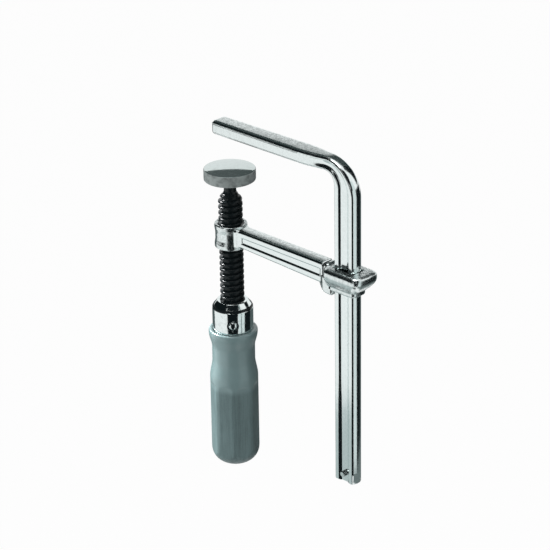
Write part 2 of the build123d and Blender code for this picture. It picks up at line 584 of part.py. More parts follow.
with BuildPart() as wooden_handle:
    # tenon inside the ferrule, lip, waist, body and rounded end
    with BuildSketch(Plane.XZ):
        with BuildLine():
            Polyline(
                (0, HANDLE_BOTTOM),
                (0, TENON_TOP),
                (FERRULE_CONE_TOP_RADIUS - FIT, TENON_TOP),
                (TENON_RADIUS, FERRULE_INSIDE_CONE_BOTTOM - FIT),
                (TENON_RADIUS, FERRULE_BOTTOM - FIT),
                (FERRULE_RADIUS + FIT, FERRULE_BOTTOM - FIT),
                (FERRULE_RADIUS + FIT, LIP_TOP),
                (LIP_RADIUS - LIP_ROUND, LIP_TOP),
            )
            RadiusArc(
                (LIP_RADIUS - LIP_ROUND, LIP_TOP), (LIP_RADIUS, LIP_TOP - LIP_ROUND), LIP_ROUND
            )
            Line((LIP_RADIUS, LIP_TOP - LIP_ROUND), (LIP_RADIUS, LIP_TOP - LIP_HEIGHT))
            Spline(
                (LIP_RADIUS, LIP_TOP - LIP_HEIGHT),
                (WAIST_RADIUS, WAIST_TOP),
                tangents=((0, -1), (0, -1)),
            )
            Line((WAIST_RADIUS, WAIST_TOP), (WAIST_RADIUS, WAIST_BOTTOM))
            Spline(
                (WAIST_RADIUS, WAIST_BOTTOM), (BODY_RADIUS, BODY_TOP), tangents=((0, -1), (0, -1))
            )
            Line((BODY_RADIUS, BODY_TOP), (BODY_RADIUS, DOME_TOP))
            Spline(
                (BODY_RADIUS, DOME_TOP),
                (DOME_LAND_RADIUS, HANDLE_BOTTOM),
                tangents=((0, -1), (-1, 0)),
            )
            Line((DOME_LAND_RADIUS, HANDLE_BOTTOM), (0, HANDLE_BOTTOM))
        make_face()
    revolve(axis=Axis.Z)
    # shallow flats round the body
    with BuildSketch(Plane.XY.offset(HANDLE_BOTTOM - 1)):
        Circle(2 * BODY_RADIUS)
        RegularPolygon(
            BODY_RADIUS - FLAT_DEPTH, int(BODY_FLATS), major_radius=False, mode=Mode.SUBTRACT
        )
    extrude(amount=WAIST_BOTTOM - HANDLE_BOTTOM, mode=Mode.SUBTRACT)
    with BuildSketch(Plane.XY.offset(TENON_TOP)):
        Circle(SHANK_RADIUS + FIT)
    extrude(amount=SHANK_BOTTOM - TENON_TOP - FIT, mode=Mode.SUBTRACT)
    with BuildSketch(Plane(origin=(0, 0, PIN_Z), z_dir=PIN_DIRECTION)):
        Circle(PIN_RADIUS + FIT)
    extrude(amount=2 * FERRULE_RADIUS, both=True, mode=Mode.SUBTRACT)
export(wooden_handle.part, "wooden_handle")
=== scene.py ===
import math

import bmesh
import bpy
from bpy.props import FloatProperty, FloatVectorProperty, IntProperty, PointerProperty
from mathutils import Matrix, Vector


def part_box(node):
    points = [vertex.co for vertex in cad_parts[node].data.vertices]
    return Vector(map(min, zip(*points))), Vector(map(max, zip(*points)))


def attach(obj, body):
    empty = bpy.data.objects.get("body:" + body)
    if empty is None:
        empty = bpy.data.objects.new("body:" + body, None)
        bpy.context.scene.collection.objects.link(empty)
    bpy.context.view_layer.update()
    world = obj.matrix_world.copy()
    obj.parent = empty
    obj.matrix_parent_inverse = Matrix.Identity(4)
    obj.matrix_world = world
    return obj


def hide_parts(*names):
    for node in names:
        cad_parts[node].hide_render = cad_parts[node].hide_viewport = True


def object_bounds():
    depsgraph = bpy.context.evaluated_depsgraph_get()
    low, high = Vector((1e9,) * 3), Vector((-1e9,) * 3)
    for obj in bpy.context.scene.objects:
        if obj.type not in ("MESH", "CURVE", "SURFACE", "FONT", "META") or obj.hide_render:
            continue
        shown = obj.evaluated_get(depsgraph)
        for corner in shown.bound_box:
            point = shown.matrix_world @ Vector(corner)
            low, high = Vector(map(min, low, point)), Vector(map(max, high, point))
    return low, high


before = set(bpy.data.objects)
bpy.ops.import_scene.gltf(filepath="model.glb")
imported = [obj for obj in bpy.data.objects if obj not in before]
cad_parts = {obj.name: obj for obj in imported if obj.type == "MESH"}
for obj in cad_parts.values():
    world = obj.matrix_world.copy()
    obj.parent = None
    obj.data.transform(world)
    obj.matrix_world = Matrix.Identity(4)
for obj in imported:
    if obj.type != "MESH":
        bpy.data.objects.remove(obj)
CAD_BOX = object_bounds()

bl_info = {
    "name": "F Clamp",
    "version": (1, 0, 0),
    "blender": (4, 5, 0),
    "location": "3D View > Sidebar > Clamp",
    "description": "Dresses a sliding-arm F clamp: forged rail and arm, screw, pad and wooden handle",
    "category": "Object",
}

MM = 0.001
RAIL_LOW, RAIL_HIGH = map(Vector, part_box("rail"))
SCREW_LOW, SCREW_HIGH = map(Vector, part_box("spindle"))
PAD_LOW, PAD_HIGH = map(Vector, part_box("pressure_plate"))
FERRULE_LOW, FERRULE_HIGH = map(Vector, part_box("ferrule"))
HANDLE_LOW = Vector(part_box("wooden_handle")[0])
PIN_LOW, PIN_HIGH = map(Vector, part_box("handle_pin"))
# Dark pieces that two of the lamps light on their own
LAMPLIT = ("screw_thread", "screw_neck", "lacquered_handle")


def length(name, millimetres, description):
    """A size with its default in millimetres."""
    kind = {"unit": "LENGTH", "subtype": "DISTANCE"}
    return FloatProperty(name=name, description=description, default=millimetres * MM, **kind)


def degrees(name, default, description):
    """An angle with its default in degrees."""
    turn = math.radians(default)
    return FloatProperty(name=name, description=description, default=turn, subtype="ANGLE")


def fraction(name, default, description):
    """A share from 0 to 1 with its default."""
    kind = {"subtype": "FACTOR", "min": 0, "max": 1}
    return FloatProperty(name=name, description=description, default=default, **kind)


def tint(name, default, description):
    """A colour with its default."""
    kind = {"subtype": "COLOR", "min": 0, "max": 1}
    return FloatVectorProperty(name=name, description=description, default=default, **kind)


class RailSizes(bpy.types.PropertyGroup):
    """Sizes of the bent rail and its jaw."""

    width: length("Rail width", 17.6, "Rail from inner to outer narrow face")
    thickness: length("Rail thickness", 8.8, "Rail across the broad faces")
    corner: length("Corner", 1.6, "Rounding of the long corners")
    jaw_corner: length("Jaw corner", 2.6, "Rounding of the jaw's upper corners")
    crown: length("Crown", 1.3, "How far the narrow faces bulge")
    jaw_flatness: fraction("Jaw flatness", 0.94, "Share of the bulge that the jaw loses")
    groove_depth: length("Groove depth", 1.2, "Depth of the groove down each broad face")
    groove_slope: length("Groove slope", 2.8, "Width of the groove's rounded walls")
    inner_bend: length("Inner bend", 8, "Radius inside the bend")
    outer_bend: length("Outer bend", 24, "Radius outside the bend")
    flare: length("Flare", 26, "Length over which the rail spreads into the jaw")
    end_bevel: length("End bevel", 0.6, "Bevel round the rail's lower end")
    tip_width: length("Tip width", 13.2, "Width of the jaw at its tip")
    tip_plan: length("Tip plan rounding", 3, "Rounding of the tip seen from above")
    tip_low: length("Tip lower rounding", 3, "Rounding of the tip's lower edge")
    tip_top: length("Tip upper rounding", 2.2, "Rounding of the tip's upper edge")


class ArmSizes(bpy.types.PropertyGroup):
    """Sizes of the forged sliding arm."""

    beam_top: length("Beam top", -62, "Beam's top at the screw")
    beam_height: length("Beam height", 11.6, "Height of the beam at the screw")
    beam_height_eye: length("Beam height at eye", 15.2, "Height of the beam where it meets the eye")
    beam_width: length("Beam width", 10, "Width of the beam over its ribs")
    beam_round: length("Beam rounding", 2.3, "Rounding of the beam's long edges")
    top_rib: length("Top rib", 4.4, "Height of the upper rib")
    low_rib: length("Low rib", 2.6, "Height of the lower rib at the screw")
    low_rib_eye: length("Low rib at eye", 5.0, "Height of the lower rib at the eye")
    hollow: length("Hollow", 0.85, "Depth of the hollow in each side")
    hollow_margin: length("Hollow margin", 3, "Hub or eye to the hollow's end")
    hub_flare: length("Hub flare", 1.4, "How far the beam widens on each side at the hub")
    notch: length("Notch radius", 1.2, "Groove across the top where beam and eye meet")
    hub_top: length("Hub top", -61.1, "Upper face of the hub")
    hub_height: length("Hub height", 16.2, "Height of the hub")
    hub_radius: length("Hub radius", 10.8, "Radius of the hub over its rims")
    hub_waist: length("Hub waist", 0.5, "How far the hub draws in between its rims")
    hub_round: length("Hub rounding", 1.5, "Rounding of the hub's rims")
    nut_gap: length("Thread gap", 0.25, "Clearance between screw and hub thread")
    eye_inner: length("Eye inner", 88.25, "Where the eye begins")
    eye_top: length("Eye top", -63.3, "Upper face of the eye")
    eye_step: length("Eye step", 0.5, "Beam's top above the eye's")
    eye_width: length("Eye half width", 10.95, "Half the eye's width")
    eye_band: length("Eye band", 4.0, "Height of the upright band")
    eye_taper: length("Eye taper", 9.2, "Height of the tapering part")
    eye_foot: length("Eye foot", 3.0, "Height of the foot")
    eye_corner: length("Eye corner", 8.0, "Rounding of the eye's end seen from above")
    eye_round: length("Eye rounding", 2.8, "Rounding of the eye's upper edge")
    end_bow: length("End bow", 1, "How far the eye's end bows out in its middle")
    foot_width: length("Foot half width", 6.45, "Half the foot's width")
    foot_outer: length("Foot outer", 114.65, "How far the foot reaches")
    shoulder: length("Shoulder", 4.6, "Length over which the beam widens into the eye")
    window_gap: length("Window gap", 0.35, "Clearance round the rail")
    heel_drop: length("Heel drop", 3.2, "Heel below the foot")
    heel_reach: length("Heel reach", 5.0, "How far the heel runs back under the beam")


class ScrewSizes(bpy.types.PropertyGroup):
    """Sizes of the trapezoidal screw."""

    radius: length("Thread radius", 8, "Radius over the crests")
    pitch: length("Pitch", 4, "Rise of the thread in one turn")
    depth: length("Depth", 2.25, "Height of the thread's ridge")
    top: length("Thread top", -39.4, "Where the thread grows out of the neck")
    run_in: length("Run-in", 6.4, "Length over which the crest reaches its full height")
    bottom: length("Thread bottom", -118.4, "Where the thread ends inside the ferrule")
    neck: length("Neck radius", 4.1, "Radius of the plain neck under the pad")
    head: length("Head radius", 6, "Radius of the head held in the pad")


class PadSizes(bpy.types.PropertyGroup):
    """Sizes of the pressure plate."""

    crown: length("Crown", 0.92, "How far the clamping face bulges")
    rim: length("Rim", 8.1, "Height of the rim")
    edge: length("Edge", 0.8, "Rounding of the rim's edges")
    skirt: length("Skirt radius", 9.4, "Radius of the short skirt")
    skirt_height: length("Skirt height", 1.2, "Height of the short skirt")
    bore: length("Bore radius", 6.7, "Radius of the socket for the screw's head")
    socket: length("Socket depth", 9.2, "Height of the socket above the skirt's lower end")


class FerruleSizes(bpy.types.PropertyGroup):
    """Sizes of the ferrule and its cross pin."""

    cone: length("Cone height", 4.2, "Height of the cone above the cylinder")
    cone_top: length("Cone top radius", 10.2, "Radius at the cone's upper end")
    line: length("Turned line", 0.5, "Groove between cone and cylinder")
    wall: length("Wall", 1.8, "Thickness of the ferrule's wall")
    pin: length("Pin radius", 2.8, "Radius of the cross pin")
    pin_dome: length("Pin dome", 1.3, "Height of the pin's domed ends")
    pin_angle: degrees("Pin angle", -45, "Direction of the cross pin about the screw")
    seat: length("Seat radius", 4.0, "Radius of the counterbore round the pin")
    seat_depth: length("Seat depth", 1.5, "Depth of the counterbore")


class HandleSizes(bpy.types.PropertyGroup):
    """Sizes of the turned and flatted handle."""

    lip_top: length("Lip top", -136.6, "Height of the lip's upper face")
    lip: length("Lip radius", 16.3, "Radius of the lip round the ferrule")
    lip_round: length("Lip rounding", 1.2, "Rounding of the lip's upper edge")
    lip_height: length("Lip height", 4.6, "Height of the lip")
    waist: length("Waist radius", 14.3, "Radius of the narrow neck")
    waist_start: length("Waist start", 13, "Lip's top to the waist")
    waist_length: length("Waist length", 9, "Length of the waist")
    flare: length("Flare", 13, "Waist's end to the full body")
    body: length("Body radius", 16.1, "Radius over the body's edges")
    dome: length("Dome height", 13, "Height of the rounded end")
    flats: IntProperty(name="Flats", description="Flats round the body", default=8, min=3)
    flat_depth: length("Flat depth", 0.75, "How deep each flat is cut")
    flat_top: length("Flat top", -177, "Where the flats run out")


class Finishes(bpy.types.PropertyGroup):
    """Colours of the clamp's finishes."""

    plating: tint("Plating", (0.80, 0.87, 0.865), "Bright plating on rail, arm and ferrule")
    pad: tint("Pad steel", (0.63, 0.71, 0.70), "Satin steel of the pressure plate")
    pin: tint("Pin steel", (0.70, 0.76, 0.75), "Turned steel of the stop pin")
    pin_wear: tint("Pin wear", (0.50, 0.55, 0.55), "Worn patches of the stop pin")
    blacking: tint("Blacking", (0.006, 0.009, 0.010), "Blackened steel of the screw")
    lacquer: tint("Lacquer", (0.118, 0.178, 0.182), "Lacquered wood of the handle")
    grain: tint("Wood grain", (0.066, 0.104, 0.107), "Dark streaks of the wood")


class StudioSizes(bpy.types.PropertyGroup):
    """The camera and the studio round the clamp."""

    azimuth: degrees("Azimuth", 44.57, "Camera's direction round the clamp")
    elevation: degrees("Elevation", 23.94, "Camera's height above the horizon")
    roll: degrees("Roll", -0.87, "Camera's roll")
    distance: length("Distance", 1615.5, "Camera to the clamp's middle")
    lens: FloatProperty(
        name="Lens", description="Focal length on a 36 mm sensor, in millimetres", default=163.7
    )
    target: FloatVectorProperty(
        name="Target",
        description="Point that the camera looks at",
        default=(39.73 * MM, 0, -86.92 * MM),
        subtype="XYZ",
        unit="LENGTH",
    )
    floor_drop: length("Floor drop", 600, "Floor below the clamp's lowest point")
    fill: fraction("Fill", 0.36, "Strength of the even light")


GROUPS = {
    "clamp_rail": RailSizes,
    "clamp_arm": ArmSizes,
    "clamp_screw": ScrewSizes,
    "clamp_pad": PadSizes,
    "clamp_ferrule": FerruleSizes,
    "clamp_handle": HandleSizes,
    "clamp_finishes": Finishes,
    "clamp_studio": StudioSizes,
}


# ---- Node trees ----
class Term:
    """A socket's value in a node tree, with arithmetic that adds Math nodes."""

    def __init__(self, sheet, socket):
        self.sheet = sheet
        self.socket = socket

    def math(self, operation, *others):
        """Adds one Math node on this value and the others."""
        return self.sheet.add("ShaderNodeMath", dict(enumerate((self, *others))), operation=operation)[0]

    def __add__(self, other):
        return self.math("ADD", other)

    def __sub__(self, other):
        return self.math("SUBTRACT", other)

    def __mul__(self, other):
        return self.math("MULTIPLY", other)

    def __truediv__(self, other):
        return self.math("DIVIDE", other)

    def __neg__(self):
        return self.math("MULTIPLY", -1)

    def __rsub__(self, other):
        return -self + other

    __radd__ = __add__
    __rmul__ = __mul__

    def ramp(self, start, end, low=0.0, high=1.0):
        """Smooth step from low to high as this value goes from start to end."""
        inputs = {"Value": self, "From Min": start, "From Max": end, "To Min": low, "To Max": high}
        return self.sheet.add("ShaderNodeMapRange", inputs, interpolation_type="SMOOTHSTEP")[0]


class Sheet:
    """Adds nodes to a cleared tree, one method for every kind."""

    def __init__(self, tree):
        self.tree = tree
        tree.nodes.clear()

    def add(self, kind, inputs=None, **settings):
        """Adds a node: its settings first, then the values or links of its inputs."""
        node = self.tree.nodes.new(kind)
        for name, value in settings.items():
            setattr(node, name, value)
        for name, value in (inputs or {}).items():
            if isinstance(value, Term):
                self.tree.links.new(value.socket, node.inputs[name])
            else:
                node.inputs[name].default_value = value
        return [Term(self, socket) for socket in node.outputs if socket.enabled]

    def looked_at(self):
        """1 on rays from the camera, off metal or through glass, 0 on those that light things."""
        path = self.add("ShaderNodeLightPath")
        return (path[0] + path[3] + path[6]).math("MINIMUM", 1.0)


class Finish(Sheet):
    """A material built from nodes on Object coordinates."""

    def __init__(self, name):
        self.material = bpy.data.materials.new(name)
        self.material.use_nodes = True
        super().__init__(self.material.node_tree)

    def place(self):
        """Where a point of the surface lies."""
        return self.add("ShaderNodeTexCoord")[3]

    def along(self, vector, axis):
        """One axis of a vector."""
        return self.add("ShaderNodeSeparateXYZ", {0: vector})[axis]

    def facing_up(self):
        """1 where the surface faces up, 0 on its sides."""
        return self.along(self.add("ShaderNodeNewGeometry")[1], 2).ramp(0.80, 0.97)

    def noise(self, size, detail, roughness, stretch=(1, 1, 1)):
        """Noise with features of the given size in metres, longer along stretched axes."""
        scale = tuple(1 / (size * s) for s in stretch)
        there = self.add("ShaderNodeMapping", {"Vector": self.place(), "Scale": scale})[0]
        inputs = {"Vector": there, "Scale": 1.0, "Detail": detail, "Roughness": roughness}
        return self.add("ShaderNodeTexNoise", inputs)[0]

    def blend(self, factor, first, second):
        """Mixes two colours by a factor."""
        inputs = {0: factor, 6: (*first, 1) if isinstance(first, tuple) else first, 7: (*second, 1)}
        return self.add("ShaderNodeMix", inputs, data_type="RGBA")[0]

    def bump(self, height, strength, distance, under=None):
        """Turns a height into a normal, on top of another where there is one."""
        inputs = {"Height": height, "Strength": strength, "Distance": distance}
        if under is not None:
            inputs["Normal"] = under
        return self.add("ShaderNodeBump", inputs)[0]

    def end(self, shader):
        """Ends the tree in a shader."""
        self.add("ShaderNodeOutputMaterial", {"Surface": shader})
        return self.material

    def surface(self, **values):
        """Ends the tree in a Principled shader with these inputs."""
        inputs = {name.replace("_", " ").title().replace("Ior", "IOR"): v for name, v in values.items()}
        return self.end(self.add("ShaderNodeBsdfPrincipled", inputs)[0])


# ---- Finishes ----
def scaled(colour, factor):
    """A colour made darker or paler."""
    return tuple(c * factor for c in colour)


def plated_steel(name, colours, stretch, forging, satin=0.0, seam=None):
    """Bright plating over rolled or forged steel: fine draw lines, mottled where it faces up,
    with painted shade that darkens the notch across it where asked."""
    finish = Finish(name)
    up = finish.facing_up()
    lines = finish.noise(0.5 * MM, 4, 0.6, stretch)
    mottle = finish.noise(1.9 * MM, 5, 0.62)
    waves = finish.noise(7 * MM, 2, 0.5)
    dark = mottle.ramp(0.40, 0.64) * (up * 0.4 + satin * 3 + 0.10)
    base = tuple(colours.plating)
    colour = finish.blend(dark, base, scaled(base, 0.6))
    if seam is not None:
        # Painted shade: the notch where beam and eye meet is darkened nearly to black.
        notch_shade_offset = finish.along(finish.place(), 0) + mottle * 0.8 * MM - seam - 0.4 * MM
        colour = finish.blend(notch_shade_offset.math("ABSOLUTE").ramp(1.1 * MM, 0.4 * MM), colour, scaled(base, 0.05))
    rough = lines.ramp(0.3, 0.7, 0.10 + satin, 0.17 + satin) + up * mottle.ramp(0.35, 0.65, 0.02, 0.10)
    broad = finish.bump(waves, 0.35, forging)
    pitted = finish.bump(mottle * (up * 0.6 + 0.4), 0.34, forging * 0.5, broad)
    fine = finish.bump(lines, 0.10, 0.03 * MM, pitted)
    return finish.surface(base_color=colour, metallic=1.0, roughness=rough, normal=fine)


def turned_steel(name, colour, worn, low, high):
    """Turned steel with fine rings and worn patches; its roughness goes from low to high."""
    finish = Finish(name)
    rings = finish.noise(0.35 * MM, 3, 0.6, (14, 14, 1))
    stains = finish.noise(2.6 * MM, 4, 0.6)
    tone = finish.blend(stains.ramp(0.45, 0.72), colour, worn)
    rough = stains.ramp(0.3, 0.7, low, high)
    normal = finish.bump(rings, 0.12, 0.03 * MM, finish.bump(stains, 0.2, 0.08 * MM))
    return finish.surface(base_color=tone, metallic=1.0, roughness=rough, normal=normal)


def black_steel(name, colours):
    """Oil-blackened steel: dark and glossy, with grey wear."""
    finish = Finish(name)
    wear = finish.noise(1.4 * MM, 5, 0.65)
    dark = tuple(colours.blacking)
    tone = finish.blend(wear.ramp(0.55, 0.8), dark, scaled(dark, 3))
    rough = wear.ramp(0.3, 0.7, 0.16, 0.26)
    normal = finish.bump(wear, 0.22, 0.05 * MM)
    return finish.surface(base_color=tone, roughness=rough, normal=normal, ior=1.28)


def satin_steel(name, colour):
    """Ground steel: bright on its flat face, satin round its rim, whose colour is darkened as painted
    shade.
    """
    finish = Finish(name)
    up = finish.facing_up()
    rings = finish.noise(0.4 * MM, 3, 0.6, (12, 12, 1))
    stains = finish.noise(3.2 * MM, 4, 0.6)
    # Real stains, plus painted shade that darkens the rim's colour well below the flat face's.
    shade = stains.ramp(0.40, 0.75) * (0.3 - up * 0.2) + (1 - up) * 0.7
    tone = finish.blend(shade, colour, scaled(colour, 0.26))
    rough = 0.58 - up * 0.53 + stains.ramp(0.35, 0.7, -0.01, 0.03)
    normal = finish.bump(rings, 0.10, 0.02 * MM, finish.bump(stains, 0.15 - up * 0.14, 0.05 * MM))
    return finish.surface(base_color=tone, metallic=up * 0.49 + 0.4, roughness=rough, normal=normal)


def lacquered_wood(name, colours, flat_top):
    """Stained and lacquered wood: streaks along the grain, glossy on the turned neck, whose colour is
    paler, partly from its finish and partly as a painted sheen.
    """
    finish = Finish(name)
    streaks = finish.noise(0.9 * MM, 5, 0.62, (1, 1, 26))
    pores = finish.noise(0.35 * MM, 3, 0.7, (1, 1, 2.5))
    clouds = finish.noise(9 * MM, 3, 0.5, (1, 1, 2.5))
    neck = finish.along(finish.place(), 2).ramp(flat_top - 4 * MM, flat_top + 2 * MM)
    light = tuple(colours.lacquer)
    stain = streaks.ramp(0.40, 0.66) * 0.38 + clouds.ramp(0.35, 0.7) * 0.35 + pores.ramp(0.42, 0.62) * 0.28
    wood = finish.blend(stain * (1 - neck * 0.65), light, tuple(colours.grain))
    # The neck's colour is made paler: partly its finish, partly a painted sheen.
    return finish.surface(
        base_color=finish.blend(neck * 0.55, wood, scaled(light, 1.45)),
        roughness=streaks.ramp(0.3, 0.7, 0.42, 0.56) - neck * 0.14,
        normal=finish.bump(streaks, 0.22, 0.10 * MM, finish.bump(pores, 0.16, 0.05 * MM)),
        coat_weight=neck * 0.76 + 0.04,
        coat_roughness=0.3,
    )


# ---- Mesh helpers ----
def linked(name, data):
    """A new object in the scene."""
    item = bpy.data.objects.new(name, data)
    bpy.context.scene.collection.objects.link(item)
    return item


def wear_only(mesh, material):
    """Gives a mesh one material."""
    mesh.materials.clear()
    mesh.materials.append(material)


def new_piece(name, mesh, material, body, *stands_for):
    """Makes a finished object from a mesh, riding on a body."""
    mesh.name = name
    piece = linked(name, mesh)
    wear_only(mesh, material)
    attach(piece, body)
    if name in LAMPLIT:
        bpy.data.collections["dark_pieces"].objects.link(piece)
    if stands_for:
        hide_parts(*stands_for)


def closed_mesh(work):
    """A mesh from a bmesh, with doubles merged, faces outwards and smooth."""
    bmesh.ops.remove_doubles(work, verts=work.verts, dist=0.002 * MM)
    bmesh.ops.recalc_face_normals(work, faces=work.faces)
    for face in work.faces:
        face.smooth = True
    return plain_mesh(work)


def plain_mesh(work):
    """A mesh from a bmesh as it is."""
    mesh = bpy.data.meshes.new("mesh")
    work.to_mesh(mesh)
    work.free()
    return mesh


def baked(piece):
    """The piece's evaluated mesh as a plain mesh, and the piece removed."""
    bpy.context.view_layer.update()
    graph = bpy.context.evaluated_depsgraph_get()
    mesh = bpy.data.meshes.new_from_object(piece.evaluated_get(graph))
    bpy.data.objects.remove(piece)
    return mesh


def smoothstep(value, start, end):
    """0 before start, 1 after end, smooth between them."""
    t = min(max((value - start) / (end - start), 0), 1)
    return t * t * (3 - 2 * t)


def quarter(steps):
    """Angles from 0 to a right angle."""
    return [math.pi / 2 * i / steps for i in range(steps + 1)]


def circle(radius, height, segments):
    """Points round the screw's axis."""
    turn = [2 * math.pi * i / segments for i in range(segments)]
    return [Vector((radius * math.cos(a), radius * math.sin(a), height)) for a in turn]


def rounded(points, radii, steps=5):
    """A profile with its inner corners rounded, by one radius or a list, as its runs allow."""
    result = [points[0]]
    if not isinstance(radii, list):
        radii = [radii] * (len(points) - 2)
    for before, here, after, radius in zip(points, points[1:], points[2:], radii):
        here = Vector(here)
        back, on = Vector(before) - here, Vector(after) - here
        bend = math.pi - back.angle(on)
        reach = min(radius * math.tan(bend / 2), 0.45 * back.length, 0.45 * on.length)
        start, end = here + back.normalized() * reach, here + on.normalized() * reach
        for i in range(steps + 1):
            t = i / steps
            result.append(tuple(start.lerp(here, t).lerp(here.lerp(end, t), t)))
    return result + [points[-1]]


def lathe(profile, segments):
    """Turns a profile of (radius, height) points round the screw's axis."""
    work = bmesh.new()
    rings = []
    for radius, height in profile:
        if radius < 1e-7:
            rings.append([work.verts.new((0, 0, height))] * segments)
        else:
            rings.append([work.verts.new(point) for point in circle(radius, height, segments)])
    for ring, following in zip(rings, rings[1:]):
        for i in range(segments):
            j = (i + 1) % segments
            corners = list(dict.fromkeys((ring[i], ring[j], following[j], following[i])))
            if len(corners) > 2:
                work.faces.new(corners)
    return closed_mesh(work)


def loft(rings, tube=False):
    """Skins closed rings of points; both ends get a fan, or meet where the skin is a tube."""
    work = bmesh.new()
    loops = [[work.verts.new(point) for point in ring] for ring in rings]
    count = len(loops[0])
    for loop, following in zip(loops, loops[1:] + loops[:1] if tube else loops[1:]):
        for i in range(count):
            j = (i + 1) % count
            work.faces.new((loop[i], loop[j], following[j], following[i]))
    for loop in () if tube else (loops[0], loops[-1]):
        middle = work.verts.new(sum((v.co for v in loop), Vector()) / count)
        for i in range(count):
            work.faces.new((loop[i], loop[(i + 1) % count], middle))
    return closed_mesh(work)


def mirrored(half):
    """A closed ring from its half: points (y, z) with y from 0 up and back to 0."""
    return half + [(-y, z) for y, z in reversed(half[1:-1])]


def section(x, half):
    """A closed ring across the arm from the outline of its half."""
    return [Vector((x, y, z)) for y, z in mirrored(half)]


# ---- Rail ----
def rail_inner(rail):
    """Where the rail's inner face lies."""
    return RAIL_HIGH.x - rail.width


def rail_half_width(sizes, x):
    """Half the rail's or jaw's width at a place along the jaw."""
    slim, wide = sizes.thickness / 2, RAIL_HIGH.y
    spread = smoothstep(rail_inner(sizes) - x, 0, sizes.flare)
    start, tip = rail_inner(sizes) - sizes.flare, RAIL_LOW.x
    taper = min(max((start - x) / (start - tip), 0), 1)
    return slim + (wide - slim) * spread - (wide - sizes.tip_width / 2) * taper


def quarter_outline(sizes, half, b, corner, across, depth):
    """Section points from the middle of a narrow face to the middle of the groove."""
    corner = min(corner, 0.8 * half, 0.45 * b)
    groove, slope = 0.2 * across, sizes.groove_slope
    edge, wall, floor = half - corner, groove + slope / 2, groove - slope / 2
    points = [(half, (b - corner) * i / 8) for i in range(8)]
    points += [(edge + corner * math.cos(a), b - corner + corner * math.sin(a)) for a in quarter(8)]
    points += [(edge + (wall - edge) * i / 4, b) for i in range(1, 4)]
    for i in range(13):
        u = wall - slope * i / 12
        points.append((u, b - depth * (1 - smoothstep(u, floor, wall))))
    return points + [(floor * (1 - i / 4), b - depth) for i in range(1, 5)]


def rail_section(sizes, inner, outer, jaw):
    """Ring of points round the rail between its edge lines; jaw goes from 0 on the rail to 1."""
    inner, outer = Vector((inner[0], 0, inner[1])), Vector((outer[0], 0, outer[1]))
    across = (outer - inner).length
    half = across / 2
    middle = (inner.x + outer.x) / 2
    b = rail_half_width(sizes, middle)
    fade_start, fade_end = rail_inner(sizes) - 16 * MM, rail_inner(sizes) + 3 * MM
    depth = sizes.groove_depth * smoothstep(middle, fade_start, fade_end)
    top_corner = sizes.corner + (sizes.jaw_corner - sizes.corner) * jaw
    top = quarter_outline(sizes, half, b, top_corner, across, depth)
    low = quarter_outline(sizes, half, b, sizes.corner, across, depth)
    right = top + [(-u, v) for u, v in reversed(low[:-1])]
    ring = right + [(u, -v) for u, v in reversed(right[1:-1])]
    crown = sizes.crown * (1 - sizes.jaw_flatness * jaw)
    points = []
    for u, v in ring:
        u -= math.copysign(crown * (v / b) ** 2 * abs(u / half) ** 6, u)
        spot = inner.lerp(outer, (u + half) / across)
        points.append(Vector((spot.x, v * rail_half_width(sizes, spot.x) / b, spot.z)))
    return points


def rounding(radius, back):
    """How far an edge of this radius stands back at a distance from its end."""
    return radius - math.sqrt(max(radius**2 - max(radius - back, 0) ** 2, 0))


def rail_rings(sizes):
    """Rings from the rail's lower end, round the bend and out to the jaw's tip."""
    near, far = rail_inner(sizes), RAIL_HIGH.x
    low, top, tip = RAIL_LOW.z, RAIL_HIGH.z, RAIL_LOW.x
    r, s, bevel = sizes.inner_bend, sizes.outer_bend, sizes.end_bevel
    rings = []
    for lift, inset in ((0, bevel), (0.3 * bevel, 0.3 * bevel), (bevel, 0)):
        ring = rail_section(sizes, (near, low + lift), (far, low + lift), 0)
        middle = sum(ring, Vector()) / len(ring)
        shrink = 1 - inset / (sizes.thickness / 2)
        rings.append([middle + (p - middle) * shrink for p in ring])
    start, straight = low + bevel, 25
    for i in range(1, straight):
        t = i / straight
        inner, outer = (near, start + (-r - start) * t), (far, start + (top - s - start) * t)
        rings.append(rail_section(sizes, inner, outer, 0))
    bend = quarter(40)
    for a in bend:
        inner = near - r + r * math.cos(a), -r + r * math.sin(a)
        outer = far - s + s * math.cos(a), top - s + s * math.sin(a)
        rings.append(rail_section(sizes, inner, outer, a / bend[-1]))
    start, straight = tip + sizes.tip_low, 37
    for i in range(1, straight):
        t = i / straight
        inner, outer = (near - r + (start - near + r) * t, 0), (far - s + (start - far + s) * t, top)
        rings.append(rail_section(sizes, inner, outer, 1))
    for a in quarter(12):
        back, rise = sizes.tip_low * (1 - math.sin(a)), sizes.tip_low * (1 - math.cos(a))
        x, drop = tip + back, rounding(sizes.tip_top, back)
        share = 1 - rounding(sizes.tip_plan, back) / rail_half_width(sizes, x)
        ring = rail_section(sizes, (x, rise), (x, top - drop), 1)
        rings.append([Vector((p.x, p.y * share, p.z)) for p in ring])
    return rings


class CLAMP_OT_rail(bpy.types.Operator):
    """Lofts the grooved rail, its bend and the flared jaw, and finishes the stop pin"""

    bl_idname = "clamp.rail"
    bl_label = "Rail and jaw"

    def execute(self, context):
        colours = context.scene.clamp_finishes
        finish = plated_steel("plated_rail", colours, (1, 1, 40), 0.10 * MM)
        new_piece("forged_rail", loft(rail_rings(context.scene.clamp_rail)), finish, "frame", "rail")
        steel = turned_steel("pin_steel", tuple(colours.pin), tuple(colours.pin_wear), 0.14, 0.3)
        wear_only(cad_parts["rail_stop_pin"].data, steel)
        return {"FINISHED"}


# ---- Arm ----
def beam_top(sizes, share):
    """Height of the beam's top at a share of its length."""
    return sizes.beam_top + (sizes.eye_top + sizes.eye_step - sizes.beam_top) * share


